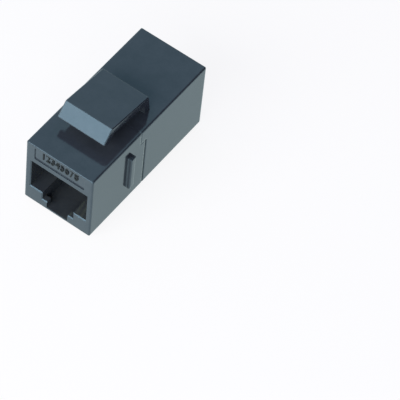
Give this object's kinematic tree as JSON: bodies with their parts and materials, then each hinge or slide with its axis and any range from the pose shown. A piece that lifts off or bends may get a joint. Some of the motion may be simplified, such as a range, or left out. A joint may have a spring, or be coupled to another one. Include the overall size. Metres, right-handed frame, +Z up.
{
  "type": "rj45 inline coupler",
  "caption": "Feed-through coupler that joins two modular network plugs end to end, in a black keystone body with a sprung latch on top, a lower catch and side stop ribs.",
  "frame": {"origin": "centre of the bounding box's underside: mid-width, mid-length, at the foot of the lower catch", "axes": "-Y out of the first socket, +Y out of the second socket and along the length, +Z up towards the latch, +X to the right when looking into the first socket"},
  "size_m": [0.016, 0.0332, 0.0223],
  "materials": {
    "housing": "smooth moulded black, slightly glossy",
    "carrier": "black, satin",
    "board": "green circuit board",
    "contact": "gold-plated spring strip",
    "solder": "bright tin solder"
  },
  "bodies": {
    "root": {"front_housing": "housing", "rear_housing": "housing", "front_contact_carrier": "carrier", "rear_contact_carrier": "carrier", "circuit_board": "board", "front_contact_1": "contact", "front_contact_2": "contact", "front_contact_3": "contact", "front_contact_4": "contact", "front_contact_5": "contact", "front_contact_6": "contact", "front_contact_7": "contact", "front_contact_8": "contact", "rear_contact_1": "contact", "rear_contact_2": "contact", "rear_contact_3": "contact", "rear_contact_4": "contact", "rear_contact_5": "contact", "rear_contact_6": "contact", "rear_contact_7": "contact", "rear_contact_8": "contact", "front_contact_solder": "solder", "rear_contact_solder": "solder"}
  },
  "joints": []
}
